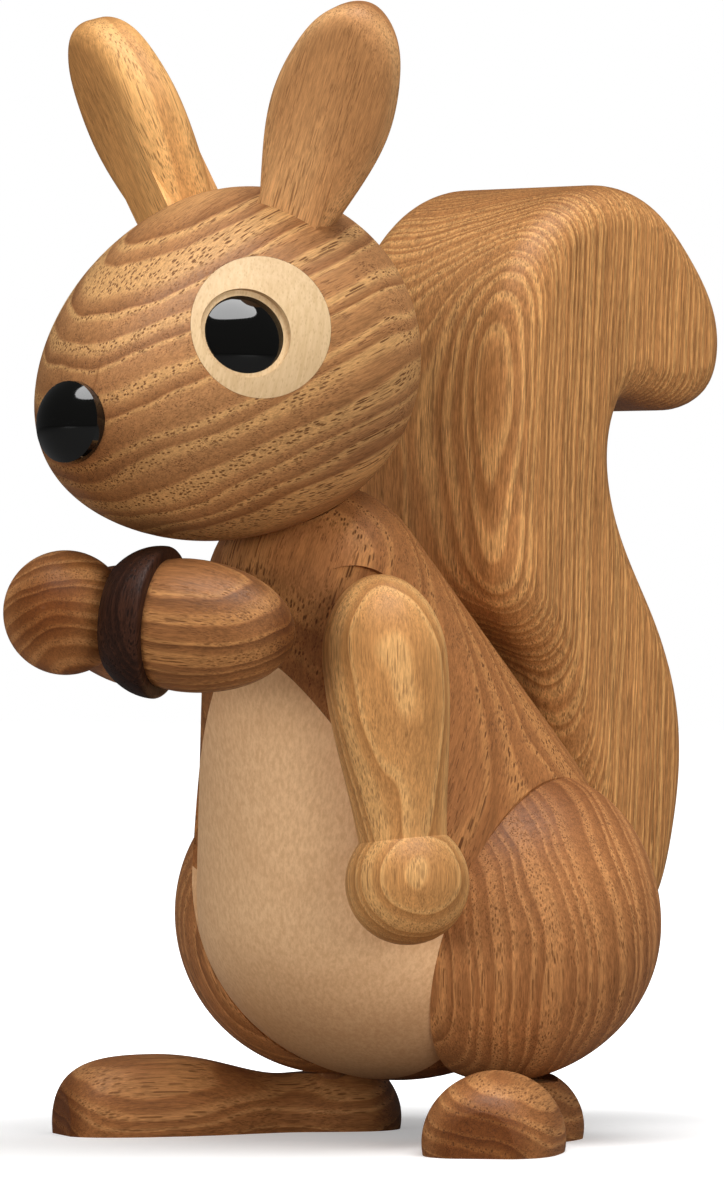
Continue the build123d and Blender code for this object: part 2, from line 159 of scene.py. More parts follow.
def newGroup(name, inputs, outputs):
    group = bpy.data.node_groups.new(name, "ShaderNodeTree")
    kinds = {
        "value": "NodeSocketFloat",
        "colour": "NodeSocketColor",
        "place": "NodeSocketVector",
    }
    for label, kind, default in inputs:
        socket = group.interface.new_socket(name=label, in_out="INPUT", socket_type=kinds[kind])
        if default is not None:
            socket.default_value = default
    for label, kind in outputs:
        group.interface.new_socket(name=label, in_out="OUTPUT", socket_type=kinds[kind])
    entry = group.nodes.new("NodeGroupInput")
    leave = group.nodes.new("NodeGroupOutput")
    return group, entry.outputs, leave.inputs


# paces are waves per millimetre across, around and along the grain
oakShape = {
    "wanderPace": (0.05, 0.05, 0.018),
    "wanderDetail": 2.5,
    "wanderReach": 9.0,  # millimetres at a Ring Wander of 1
    "unevenPace": 0.55,
    "unevenReach": 1.6,  # ring widths
    "earlyStart": 0.1,  # these are shares of a ring
    "earlyEnd": 0.42,
    "earlyEndLuck": 0.25,
    "earlyFade": 0.3,
    "lateStart": 0.35,
    "lateFull": 0.95,
    "lateStop": 0.93,
    "lateRest": 0.2,
    "lateDepth": 0.3,
    "lateDepthLuck": 0.6,
    "largePores": {"scale": 1.0, "radius": 0.36, "open": 0.5},
    "smallPores": {"scale": 2.1, "radius": 0.42, "open": 0.45},
    "poreShuffle": 37.0,
    "poreOpenLuck": 0.3,
    "poreTaper": 0.12,
    "flamePace": (0.5, 0.9, 0.05),
    "flameRange": (0.4, 0.65),
    "flameDepth": (0.15, 0.75),
    "fibrePace": (1.7, 1.7, 0.07),
    "fibreRoughness": 0.75,
    "hairPace": (5.0, 5.0, 0.5),
    "hairRoughness": 0.6,
    "fibreDetail": 4.0,
    "driftDepth": (0.92, 1.08),
    "rayTurns": 60.0,
    "rayOutPace": 0.016,
    "rayAlongPace": 0.03,
    "rayCore": 0.03,
    "rayWidth": 0.07,
    "rayWidthLuck": 0.14,
    "rayFibreRange": (0.3, 0.6),
    "rayFibreDepth": (0.5, 1.0),
    "polish": 0.4,
    "fibreMatt": 0.14,
    "poreMatt": 0.25,
    "fibreHeight": 0.25,
    "hairHeight": 0.15,
}


def buildOakFigure(shape):
    # ring-porous wood, for a place in millimetres that has the pith on Z and the grain along Z
    tree, given, result = newGroup(
        "oak figure",
        [
            ("Place", "place", None),
            ("Ring Width", "value", 4.0),
            ("Ring Wander", "value", 1.0),
            ("Ring Contrast", "value", 0.5),
            ("Pore Size", "value", 0.5),
            ("Pore Length", "value", 5.0),
            ("Pore Strength", "value", 0.7),
            ("Ray Spacing", "value", 2.6),
            ("Ray Strength", "value", 0.4),
            ("Ray Paleness", "value", 0.4),
            ("Fibre Contrast", "value", 0.2),
            ("Light Tone", "colour", tone(206, 158, 104)),
            ("Mid Tone", "colour", tone(176, 126, 80)),
            ("Dark Tone", "colour", tone(140, 92, 52)),
            ("Pore Tone", "colour", tone(96, 56, 28)),
        ],
        [("Color", "colour"), ("Roughness", "value"), ("Height", "value")],
    )
    split = tree.nodes.new("ShaderNodeSeparateXYZ")
    fill(tree, split.inputs[0], given["Place"])
    axes = tuple(split.outputs)
    across, around, along = axes

    # rings wander slowly, more across the stock than along it
    slowPlace = stretch(tree, axes, shape["wanderPace"])
    slow = cloudNoise(tree, slowPlace, 1.0, detail=shape["wanderDetail"])
    wander = splitColor(tree, slow.outputs["Color"])
    shift = times(tree, given["Ring Wander"], shape["wanderReach"])
    acrossWander = reckon(tree, "SUBTRACT", wander[0], 0.5)
    aroundWander = reckon(tree, "SUBTRACT", wander[1], 0.5)
    acrossMoved = timesPlus(tree, acrossWander, shift, across)
    aroundMoved = timesPlus(tree, aroundWander, shift, around)
    aroundSquared = times(tree, aroundMoved, aroundMoved)
    radiusSquared = timesPlus(tree, acrossMoved, acrossMoved, aroundSquared)
    radius = reckon(tree, "SQRT", radiusSquared)
    turn = reckon(tree, "ARCTAN2", aroundMoved, acrossMoved)

    # rings of uneven width, each with its own depth of colour
    evenCount = reckon(tree, "DIVIDE", radius, given["Ring Width"])
    unevenness = tree.nodes.new("ShaderNodeTexNoise")
    unevenness.noise_dimensions = "1D"
    fill(tree, unevenness.inputs["W"], times(tree, evenCount, shape["unevenPace"]))
    unevenness.inputs["Scale"].default_value = 1
    ringCount = timesPlus(tree, unevenness.outputs["Fac"], shape["unevenReach"], evenCount)
    ringShare = reckon(tree, "FRACT", ringCount)
    ringLuck = tree.nodes.new("ShaderNodeTexWhiteNoise")
    ringLuck.noise_dimensions = "1D"
    fill(tree, ringLuck.inputs["W"], reckon(tree, "FLOOR", ringCount))
    luck = ringLuck.outputs["Value"]
    earlyEnd = timesPlus(tree, luck, shape["earlyEndLuck"], shape["earlyEnd"])
    earlyFade = reckon(tree, "SUBTRACT", earlyEnd, shape["earlyFade"])
    earlyRise = softStep(tree, ringShare, 0.0, shape["earlyStart"])
    earlyFall = softStep(tree, ringShare, earlyFade, earlyEnd, 1.0, 0.0)
    early = times(tree, earlyRise, earlyFall)
    lateRise = softStep(tree, ringShare, shape["lateStart"], shape["lateFull"])
    lateFall = softStep(tree, ringShare, shape["lateStop"], 1.0, 1.0, shape["lateRest"])
    late = times(tree, lateRise, lateFall)

    # pores are long tubes: dots where the grain ends, broken lines where it runs along the face
    poreAcross = reckon(tree, "DIVIDE", across, given["Pore Size"])
    poreAround = reckon(tree, "DIVIDE", around, given["Pore Size"])
    poreRun = reckon(tree, "DIVIDE", along, given["Pore Length"])

    def tubes(kind):
        scale = kind["scale"]
        poreAxes = (times(tree, poreAcross, scale), times(tree, poreAround, scale), 0.0)
        place = joinAxes(tree, poreAxes)
        nearest = cells(tree, place)
        nearest.voronoi_dimensions = "2D"
        chance = splitColor(tree, nearest.outputs["Color"])
        run = timesPlus(tree, chance[0], shape["poreShuffle"], times(tree, poreRun, scale))
        sweep = reckon(tree, "PINGPONG", run, 1.0)
        reach = timesPlus(tree, chance[1], shape["poreOpenLuck"], kind["open"])
        taper = reckon(tree, "SUBTRACT", reach, shape["poreTaper"])
        shown = softStep(tree, sweep, taper, reach, 1.0, 0.0)
        distance = nearest.outputs["Distance"]
        core = softStep(tree, distance, kind["radius"] * 0.5, kind["radius"], 1.0, 0.0)
        return times(tree, core, shown)

    largePores = times(tree, tubes(shape["largePores"]), early)
    flamePlace = stretch(tree, axes, shape["flamePace"])
    flameNoise = cloudNoise(tree, flamePlace, 1.0).outputs["Fac"]
    flames = softStep(tree, flameNoise, *shape["flameRange"], *shape["flameDepth"])
    smallPores = times(tree, tubes(shape["smallPores"]), flames)
    pores = reckon(tree, "MAXIMUM", largePores, smallPores)

    # fine fibres, and a slow drift of colour through the stock
    def streaks(pace, roughness):
        place = stretch(tree, axes, pace)
        noise = cloudNoise(tree, place, 1.0, detail=shape["fibreDetail"], roughness=roughness)
        return noise.outputs["Fac"]

    fibre = streaks(shape["fibrePace"], shape["fibreRoughness"])
    hair = streaks(shape["hairPace"], shape["hairRoughness"])
    drift = softStep(tree, wander[2], *noiseRange, *shape["driftDepth"])

    # rays: thin sheets that run outwards from the pith and some way along the grain
    rayTurn = reckon(tree, "DIVIDE", times(tree, turn, shape["rayTurns"]), given["Ray Spacing"])
    rayOut = times(tree, radius, shape["rayOutPace"])
    rayAlong = times(tree, along, shape["rayAlongPace"])
    rayCells = cells(tree, joinAxes(tree, (rayTurn, rayOut, rayAlong)))
    rayLuck = splitColor(tree, rayCells.outputs["Color"])
    rayWidth = timesPlus(tree, rayLuck[1], shape["rayWidthLuck"], shape["rayWidth"])
    raySheet = softStep(tree, rayCells.outputs["Distance"], shape["rayCore"], rayWidth, 1.0, 0.0)
    rayBreak = softStep(tree, fibre, *shape["rayFibreRange"], *shape["rayFibreDepth"])
    rays = times(tree, raySheet, rayBreak)

    # colour: early wood over the ground, then late wood, rays, fibres and pores
    earlyShare = times(tree, early, given["Ring Contrast"])
    warm = mixTones(tree, earlyShare, given["Mid Tone"], given["Light Tone"])
    lateDepth = timesPlus(tree, luck, shape["lateDepthLuck"], shape["lateDepth"])
    lateShare = times(tree, times(tree, late, lateDepth), given["Ring Contrast"])
    banded = mixTones(tree, lateShare, warm, given["Dark Tone"])
    rayPale = reckon(tree, "LESS_THAN", rayLuck[0], given["Ray Paleness"])
    rayTone = mixTones(tree, rayPale, given["Dark Tone"], given["Light Tone"])
    rayed = mixTones(tree, times(tree, rays, given["Ray Strength"]), banded, rayTone)
    hairSwing = reckon(tree, "SUBTRACT", softStep(tree, hair, *noiseRange), 0.5)
    fibreSwing = reckon(tree, "SUBTRACT", softStep(tree, fibre, *noiseRange), 0.5)
    hairLift = timesPlus(tree, hairSwing, given["Fibre Contrast"], drift)
    lift = timesPlus(tree, fibreSwing, given["Fibre Contrast"], hairLift)
    liftTone = tree.nodes.new("ShaderNodeCombineColor")
    for socket in liftTone.inputs[:3]:
        fill(tree, socket, lift)
    lifted = mixTones(tree, 1.0, rayed, liftTone.outputs[0], "MULTIPLY")
    poreShare = times(tree, pores, given["Pore Strength"])
    fill(tree, result["Color"], mixTones(tree, poreShare, lifted, given["Pore Tone"]))

    roughness = timesPlus(tree, fibre, shape["fibreMatt"], shape["polish"])
    fill(tree, result["Roughness"], timesPlus(tree, poreShare, shape["poreMatt"], roughness))
    hairHeight = times(tree, hair, shape["hairHeight"])
    height = timesPlus(tree, fibre, shape["fibreHeight"], hairHeight)
    fill(tree, result["Height"], reckon(tree, "SUBTRACT", height, poreShare))
    return tree


mapleShape = {
    "fibrePace": (1.6, 1.6, 0.12),
    "fibreDetail": 4.0,
    "fibreRoughness": 0.7,
    "bandPace": (0.12, 0.12, 0.02),
    "bandReach": 9.0,  # millimetres
    "ringStart": 0.5,
    "ringDepth": 0.12,
    "fleckPace": (1.1, 2.6, 1.1),
    "fleckRange": (0.1, 0.4),
    "polish": 0.44,
    "fibreMatt": 0.12,
    "fibreHeight": 0.3,
}


def buildMapleFigure(shape):
    # close pale wood with short flecks and a faint silky band, for a place as for the oak
    tree, given, result = newGroup(
        "maple figure",
        [
            ("Place", "place", None),
            ("Ring Width", "value", 5.0),
            ("Light Tone", "colour", tone(236, 205, 160)),
            ("Mid Tone", "colour", tone(218, 182, 136)),
            ("Fleck Tone", "colour", tone(186, 146, 102)),
            ("Fleck Strength", "value", 0.4),
        ],
        [("Color", "colour"), ("Roughness", "value"), ("Height", "value")],
    )
    split = tree.nodes.new("ShaderNodeSeparateXYZ")
    fill(tree, split.inputs[0], given["Place"])
    axes = tuple(split.outputs)
    fibre = cloudNoise(
        tree,
        stretch(tree, axes, shape["fibrePace"]),
        1.0,
        detail=shape["fibreDetail"],
        roughness=shape["fibreRoughness"],
    ).outputs["Fac"]
    bandPlace = stretch(tree, axes, shape["bandPace"])
    bands = cloudNoise(tree, bandPlace, 1.0, detail=1.0).outputs["Fac"]
    acrossMoved = timesPlus(tree, bands, shape["bandReach"], axes[0])
    ringCount = reckon(tree, "DIVIDE", acrossMoved, given["Ring Width"])
    ringSweep = reckon(tree, "PINGPONG", ringCount, 1.0)
    ringLine = softStep(tree, ringSweep, shape["ringStart"], 1.0, 0.0, shape["ringDepth"])
    fleckCells = cells(tree, stretch(tree, axes, shape["fleckPace"]))
    flecks = softStep(tree, fleckCells.outputs["Distance"], *shape["fleckRange"], 1.0, 0.0)
    fibreShare = softStep(tree, fibre, *noiseRange)
    plain = mixTones(tree, fibreShare, given["Mid Tone"], given["Light Tone"])
    banded = mixTones(tree, ringLine, plain, given["Fleck Tone"])
    fleckShare = times(tree, flecks, given["Fleck Strength"])
    fill(tree, result["Color"], mixTones(tree, fleckShare, banded, given["Fleck Tone"]))
    fill(tree, result["Roughness"], timesPlus(tree, fibre, shape["fibreMatt"], shape["polish"]))
    height = times(tree, fibre, shape["fibreHeight"])
    fill(tree, result["Height"], reckon(tree, "SUBTRACT", height, fleckShare))
    return tree


oakFigure = buildOakFigure(oakShape)
mapleFigure = buildMapleFigure(mapleShape)
print("Grain groups built")

# what all the woods share
finishLook = {
    "feltDepth": 0.00012,  # how deep the pores and fibres are felt, in metres
    "bump": 0.5,
    "sheen": 0.28,
    "endTone": (0.42, 0.3, 0.2, 1),
    "endShade": 0.6,
    "endStart": 0.55,  # cosine between the grain and the face's normal
}


def stockMapping(tree, pieceName, look):
    # turns the place so that the grain runs along Z and the pith is the Z axis, in millimetres
    low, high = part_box(pieceName)
    middle = (low + high) / 2 * mmPerMetre
    grain = Vector(look["grain"]).normalized()
    outward = Vector(look["outward"])
    outward = (outward - grain * grain.dot(outward)).normalized()
    turned = Matrix((outward, grain.cross(outward), grain))
    place = tree.nodes.new("ShaderNodeTexCoord")
    mapping = tree.nodes.new("ShaderNodeMapping")
    mapping.inputs["Scale"].default_value = (mmPerMetre, mmPerMetre, mmPerMetre)
    mapping.inputs["Rotation"].default_value = turned.to_euler("XYZ")
    mapping.inputs["Location"].default_value = Vector(look["pith"]) - turned @ middle
    tree.links.new(place.outputs["Object"], mapping.inputs["Vector"])
    return mapping.outputs["Vector"]


def woodMaterial(name, pieceName, group, look):
    material = bpy.data.materials.new(name)
    material.use_nodes = True
    tree = material.node_tree
    shader = tree.nodes["Principled BSDF"]
    figure = tree.nodes.new("ShaderNodeGroup")
    figure.node_tree = group
    tree.links.new(stockMapping(tree, pieceName, look), figure.inputs["Place"])
    for label, value in look["figure"].items():
        figure.inputs[label].default_value = value
    bump = tree.nodes.new("ShaderNodeBump")
    bump.inputs["Distance"].default_value = finishLook["feltDepth"]
    bump.inputs["Strength"].default_value = look.get("bump", finishLook["bump"])
    tree.links.new(figure.outputs["Height"], bump.inputs["Height"])
    tree.links.new(bump.outputs["Normal"], shader.inputs["Normal"])
    # where the grain runs out of the face, the oil sinks in and the wood turns darker
    facing = tree.nodes.new("ShaderNodeVectorMath")
    facing.operation = "DOT_PRODUCT"
    fill(tree, facing.inputs[0], tree.nodes.new("ShaderNodeTexCoord").outputs["Normal"])
    facing.inputs[1].default_value = Vector(look["grain"]).normalized()
    endOn = reckon(tree, "ABSOLUTE", facing.outputs["Value"])
    endShade = look.get("endShade", finishLook["endShade"])
    endShare = softStep(tree, endOn, finishLook["endStart"], 1.0, 0.0, endShade)
    oiled = mixTones(tree, endShare, figure.outputs["Color"], finishLook["endTone"], "MULTIPLY")
    tree.links.new(oiled, shader.inputs["Base Color"])
    tree.links.new(figure.outputs["Roughness"], shader.inputs["Roughness"])
    shader.inputs["Specular IOR Level"].default_value = finishLook["sheen"]
    return material


def dress(pieceName, material):
    # the CAD piece keeps its shape and gets this finish in every slot
    piece = cadNodes[pieceName]
    if not piece.data.materials:
        piece.data.materials.append(material)
    for index in range(len(piece.data.materials)):
        piece.data.materials[index] = material


def dressInWood(pieceName, wood, group, look):
    dress(pieceName, woodMaterial(wood, pieceName, group, look))


def onSide(sign, place):
    # a place or a direction of the left side, or with a sign of -1 its twin on the right side
    return (sign * place[0], *place[1:])


turningLook = {
    "facets": 128,
    "crease": 35.0,  # degrees over which an edge stays sharp
    "weldDistance": 0.001,  # millimetres
    "arcSteps": 24,
    "rimSteps": 8,
}


def turnedPiece(name, profile, seat, along, body, material):
    # A closed turning on the line through its seat. The profile has radius and height in mm.
    mesh = bmesh.new()
    corners = [mesh.verts.new((radius, 0, height)) for radius, height in profile]
    edges = [mesh.edges.new(pair) for pair in zip(corners, corners[1:])]
    bmesh.ops.spin(
        mesh,
        geom=corners + edges,
        axis=(0, 0, 1),
        cent=(0, 0, 0),
        steps=turningLook["facets"],
        angle=math.tau,
    )
    bmesh.ops.remove_doubles(mesh, verts=mesh.verts, dist=turningLook["weldDistance"])
    bmesh.ops.dissolve_degenerate(mesh, edges=mesh.edges, dist=turningLook["weldDistance"])
    bmesh.ops.recalc_face_normals(mesh, faces=mesh.faces)
    crease = math.radians(turningLook["crease"])
    for face in mesh.faces:
        face.smooth = True
    for edge in mesh.edges:
        edge.smooth = len(edge.link_faces) == 2 and edge.calc_face_angle() < crease
    turnTo = Vector(along).to_track_quat("Z", "Y").to_matrix().to_4x4()
    place = Matrix.Scale(1 / mmPerMetre, 4) @ Matrix.Translation(Vector(seat)) @ turnTo
    bmesh.ops.transform(mesh, matrix=place, verts=mesh.verts)
    data = bpy.data.meshes.new(name)
    mesh.to_mesh(data)
    mesh.free()
    data.materials.append(material)
    piece = bpy.data.objects.new(name, data)
    bpy.context.scene.collection.objects.link(piece)
    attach(piece, body)
    return piece


# Each look gives the stock: the way its grain runs, a way out from its pith, how far its
# pith lies from the piece's middle in millimetres, and the figure's own settings.
headLook = {
    "grain": (0.0, -0.94, -0.34),
    "outward": (0.05, 0.30, -0.95),
    "pith": (70, 0, 0),
    "bump": 0.6,
    "endShade": 0.9,
    "figure": {
        "Ring Width": 3.6,
        "Ring Wander": 0.9,
        "Ray Strength": 0.7,
        "Ray Paleness": 0.35,
        "Ring Contrast": 0.85,
        "Pore Strength": 0.85,
        "Fibre Contrast": 0.34,
        "Light Tone": tone(208, 159, 102),
        "Mid Tone": tone(179, 128, 81),
        "Dark Tone": tone(126, 78, 42),
    },
}
dressInWood("head", "head oak", oakFigure, headLook)

earFigure = {
    "Ring Contrast": 0.7,
    "Ring Wander": 0.8,
    "Pore Size": 0.4,
    "Pore Strength": 0.55,
    "Pore Length": 7.0,
    "Ray Strength": 0.25,
    "Fibre Contrast": 0.3,
}
earLooks = {
    "ear_left": {
        "grain": (0.42, -0.05, 0.9),
        "outward": (0.5, -0.85, 0.0),
        "pith": (24, 3, 0),
        "figure": {
            **earFigure,
            "Ring Width": 5.0,
            "Light Tone": tone(222, 170, 114),
            "Mid Tone": tone(202, 148, 96),
            "Dark Tone": tone(158, 108, 64),
        },
    },
    # the right ear's tones are paler than the left ear's: partly its own wood, partly painted
    # light for the stronger light that falls on the far ear
    "ear_right": {
        "grain": (-0.42, -0.05, 0.9),
        "outward": (-0.5, -0.85, 0.0),
        "pith": (30, -4, 0),
        "figure": {
            **earFigure,
            "Ring Width": 6.0,
            "Light Tone": tone(232, 178, 112),
            "Mid Tone": tone(218, 162, 98),
            "Dark Tone": tone(172, 116, 64),
        },
    },
}
for earName, earLook in earLooks.items():
    dressInWood(earName, earName + " oak", oakFigure, earLook)

trunkLook = {
    "grain": (0.0, 0.42, 0.91),
    "outward": (0.5, -0.7, 0.3),
    "pith": (34, 0, 0),
    "figure": {
        "Ring Width": 3.4,
        "Ring Contrast": 0.6,
        "Pore Strength": 0.9,
        "Pore Size": 0.55,
        "Pore Length": 3.0,
        "Fibre Contrast": 0.34,
        "Light Tone": tone(196, 138, 82),
        "Mid Tone": tone(170, 113, 66),
        "Dark Tone": tone(128, 79, 42),
    },
}
dressInWood("torso", "trunk oak", oakFigure, trunkLook)

tailLook = {
    "grain": (0.0, 0.06, 1.0),
    "outward": (0.3, -0.95, 0.0),
    "pith": (60, 0, 0),
    "figure": {
        "Ring Width": 1.05,
        "Ring Wander": 0.5,
        "Ring Contrast": 0.6,
        "Pore Size": 0.4,
        "Pore Strength": 0.55,
        "Pore Length": 10.0,
        "Ray Strength": 0.2,
        "Fibre Contrast": 0.5,
        "Light Tone": tone(222, 168, 104),
        "Mid Tone": tone(190, 134, 80),
        "Dark Tone": tone(144, 90, 46),
    },
}
dressInWood("tail", "tail oak", oakFigure, tailLook)

thighLook = {
    "grain": (0.25, -0.3, 0.92),
    "outward": (0.35, 0.92, 0.2),
    "pith": (70, 0, 0),
    "figure": {
        "Ring Width": 2.5,
        "Ring Wander": 1.0,
        "Ring Contrast": 0.85,
        "Ray Strength": 0.5,
        "Pore Size": 0.42,
        "Pore Length": 3.5,
        "Fibre Contrast": 0.36,
        "Light Tone": tone(202, 142, 88),
        "Mid Tone": tone(176, 118, 71),
        "Dark Tone": tone(138, 87, 49),
    },
}
for side, sign in (("left", 1), ("right", -1)):
    sideLook = dict(thighLook)
    sideLook["grain"] = onSide(sign, thighLook["grain"])
    sideLook["outward"] = onSide(sign, thighLook["outward"])
    pieceName = "thigh_" + side
    dressInWood(pieceName, pieceName + " oak", oakFigure, sideLook)

footLook = {
    "grain": (0.51, -0.86, 0.0),
    "outward": (0.4, 0.0, 0.9),
    "pith": (40, 0, 0),
    "endShade": 0.9,
    "figure": {
        "Ring Width": 2.0,
        "Ring Contrast": 0.8,
        "Fibre Contrast": 0.4,
        "Light Tone": tone(182, 128, 78),
        "Mid Tone": tone(156, 102, 59),
        "Dark Tone": tone(116, 70, 37),
    },
}
for side, sign in (("left", 1), ("right", -1)):
    sideLook = dict(footLook)
    sideLook["grain"] = onSide(sign, footLook["grain"])
    pieceName = "foot_" + side
    dressInWood(pieceName, pieceName + " oak", oakFigure, sideLook)

armFigure = {
    "Ring Width": 2.2,
    "Ring Contrast": 0.8,
    "Pore Size": 0.4,
    "Pore Strength": 0.5,
    "Pore Length": 8.0,
    "Fibre Contrast": 0.34,
}
armLooks = {
    "arm_left": {
        "grain": (0.1, -0.1, -1.0),
        "outward": (0.8, -0.6, 0.0),
        "pith": (26, 0, 0),
        "endShade": 0.4,
        "figure": {
            **armFigure,
            "Light Tone": tone(214, 164, 104),
            "Mid Tone": tone(200, 146, 88),
            "Dark Tone": tone(160, 108, 60),
        },
    },
    "arm_right": {
        "grain": (0.35, -0.93, 0.07),
        "outward": (-0.3, 0.0, 1.0),
        "pith": (26, 0, 0),
        "endShade": 0.9,
        "figure": {
            **armFigure,
            "Light Tone": tone(190, 134, 82),
            "Mid Tone": tone(160, 104, 58),
            "Dark Tone": tone(120, 72, 36),
        },
    },
}
for armName, armLook in armLooks.items():
    dressInWood(armName, armName + " oak", oakFigure, armLook)

nutLook = {
    "grain": (0.932, 0.349, -0.096),
    "outward": (0.0, -0.6, 0.8),
    "pith": (30, 0, 0),
    "endShade": 0.95,
    "figure": {
        "Ring Width": 2.2,
        "Ring Contrast": 0.8,
        "Fibre Contrast": 0.4,
        "Pore Size": 0.4,
        "Light Tone": tone(176, 124, 74),
        "Mid Tone": tone(152, 101, 59),
        "Dark Tone": tone(100, 61, 33),
    },
}
dressInWood("acorn_nut", "acorn oak", oakFigure, nutLook)

capLook = {
    "seam": (5.6075, -50.6629, 77.7277),  # middle of the joint between cap and nut
    "along": (0.93236, 0.348595, -0.095846),
    "radius": 11.15,
    "depth": 10.3,
    "height": 7.2,
    "rimRound": 0.8,
    "grain": (0.0, 0.3, 1.0),
    "outward": (0.9, -0.4, 0.0),
    "pith": (26, 0, 0),
    "figure": {
        "Ring Width": 1.4,
        "Ring Contrast": 0.35,
        "Fibre Contrast": 0.5,
        "Light Tone": tone(78, 46, 31),
        "Mid Tone": tone(51, 29, 20),
        "Dark Tone": tone(30, 17, 12),
        "Pore Tone": tone(18, 9, 7),
    },
}


def capProfile(look):
    # a bowl cut off where it sits on the hand, with a rounded rim towards the nut
    rim = look["rimRound"]
    bowl = look["depth"] - rim
    arcSteps, rimSteps = turningLook["arcSteps"], turningLook["rimSteps"]
    points = [(0, -look["height"])]
    lowest = math.asin((look["height"] - rim) / bowl)
    for step in range(arcSteps + 1):
        lean = lowest * (1 - step / arcSteps)
        points.append((look["radius"] * math.cos(lean), -rim - bowl * math.sin(lean)))
    for step in range(1, rimSteps + 1):
        lean = math.pi / 2 * step / rimSteps
        radius = look["radius"] - rim + rim * math.cos(lean)
        points.append((radius, -rim + rim * math.sin(lean)))
    return points + [(0, 0)]


newCap = turnedPiece(
    "turned_cap",
    capProfile(capLook),
    capLook["seam"],
    capLook["along"],
    cadNodes["acorn_cap"]["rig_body"],
    woodMaterial("cap walnut", "acorn_cap", oakFigure, capLook),
)
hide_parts("acorn_cap")
print("Oak and walnut pieces dressed")

bellyLook = {
    "grain": (0.0, -0.42, -0.91),
    "outward": (0.2, -0.95, 0.3),
    "pith": (0, 0, 0),
    "bump": 0.25,
    "figure": {
        "Light Tone": tone(250, 208, 160),
        "Mid Tone": tone(230, 184, 136),
        "Fleck Tone": tone(210, 160, 112),
        "Fleck Strength": 0.2,
    },
}
dressInWood("belly_inlay", "belly maple", mapleFigure, bellyLook)

eyeRingLook = {
    "grain": (0.0, 0.3, 0.95),
    "outward": (1.0, -0.4, 0.1),
    "pith": (0, 0, 0),
    "bump": 0.3,
    "figure": {
        "Light Tone": tone(220, 190, 148),
        "Mid Tone": tone(206, 174, 130),
        "Fleck Tone": tone(180, 144, 102),
        "Fleck Strength": 0.4,
    },
}
for side in ("left", "right"):
    pieceName = "eye_ring_" + side
    dressInWood(pieceName, pieceName + " maple", mapleFigure, eyeRingLook)

dowelLook = {
    "grain": (0.0, 0.0, 1.0),
    "outward": (1.0, 0.0, 0.0),
    "pith": (0, 0, 0),
    "figure": {"Fleck Strength": 0.3},
}
# the foot dowels show a little over the feet, so they have the feet's dark tone
footDowelLook = {
    **dowelLook,
    "figure": {
        "Fleck Strength": 0.3,
        "Light Tone": tone(128, 80, 46),
        "Mid Tone": tone(110, 67, 37),
    },
}
for pieceName in sorted(cadNodes):
    if "dowel" in pieceName:
        look = footDowelLook if pieceName.startswith("foot") else dowelLook
        dressInWood(pieceName, pieceName + " birch", mapleFigure, look)
print("Maple and dowels dressed")

beadLook = {
    "seat": (17.6802, -46.9803, 119.39),  # middle of the left bead's flat back
    "out": (0.813199, -0.502242, 0.29404),
    "radius": 5.93,
    "dome": 1.9,
    "pegRadius": 2.5,
    "pegLength": 3.0,
    "body": tone(9, 9, 8),
    "polish": 0.05,
    "hazeMatt": 0.12,
    "hazeScale": 60,
    "hazeRange": (0.3, 0.8),
    "hazeDepth": 0.00002,  # metres
    "hazeBump": 0.15,
    "coat": 0.6,
    "coatRoughness": 0.03,
}


def beadMaterial(name, look):
    # black lacquer over turned wood: deep gloss with a trace of haze
    material = bpy.data.materials.new(name)
    material.use_nodes = True
    tree = material.node_tree
    shader = tree.nodes["Principled BSDF"]
    place = tree.nodes.new("ShaderNodeTexCoord")
    haze = cloudNoise(tree, place.outputs["Object"], look["hazeScale"], detail=3.0).outputs["Fac"]
    matt = softStep(tree, haze, *look["hazeRange"], look["polish"], look["hazeMatt"])
    fill(tree, shader.inputs["Roughness"], matt)
    bump = tree.nodes.new("ShaderNodeBump")
    bump.inputs["Distance"].default_value = look["hazeDepth"]
    bump.inputs["Strength"].default_value = look["hazeBump"]
    tree.links.new(haze, bump.inputs["Height"])
    tree.links.new(bump.outputs["Normal"], shader.inputs["Normal"])
    shader.inputs["Base Color"].default_value = look["body"]
    shader.inputs["Coat Weight"].default_value = look["coat"]
    shader.inputs["Coat Roughness"].default_value = look["coatRoughness"]
    return material


def beadProfile(look):
    # a peg, a flat back and a shallow dome
    reach = (look["radius"] ** 2 + look["dome"] ** 2) / (2 * look["dome"])
    rimTurn = math.asin(look["radius"] / reach)
    arcSteps = turningLook["arcSteps"]
    points = [
        (0, -look["pegLength"]),
        (look["pegRadius"], -look["pegLength"]),
        (look["pegRadius"], 0),
    ]
    for step in range(arcSteps + 1):
        lean = rimTurn * (1 - step / arcSteps)
        points.append((reach * math.sin(lean), look["dome"] - reach + reach * math.cos(lean)))
    return points


blackLacquer = beadMaterial("black lacquer", beadLook)
dress("nose_bead", blackLacquer)
for side, sign in (("left", 1), ("right", -1)):
    nodeName = "eye_bead_" + side
    newBead = turnedPiece(
        "turned_" + nodeName,
        beadProfile(beadLook),
        onSide(sign, beadLook["seat"]),
        onSide(sign, beadLook["out"]),
        cadNodes[nodeName]["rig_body"],
        blackLacquer,
    )
    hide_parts(nodeName)
print("Beads polished")

floorLook = {
    "size": 6.0,
    "tone": (0.8, 0.8, 0.8, 1),
    "bounceTone": (0.26, 0.21, 0.17, 1),
    "glossTone": (0.12, 0.12, 0.12, 1),
    "gritScale": 40.0,
    "gritRange": (0.2, 0.8),
    "matt": (0.75, 0.9),
    "sheen": 0.1,
    "lift": 0.3,
    "clearFrom": 0.06,  # metres from the middle where the floor starts to fade into white
    "clearBy": 0.13,
    "clearLift": 1.0,
}


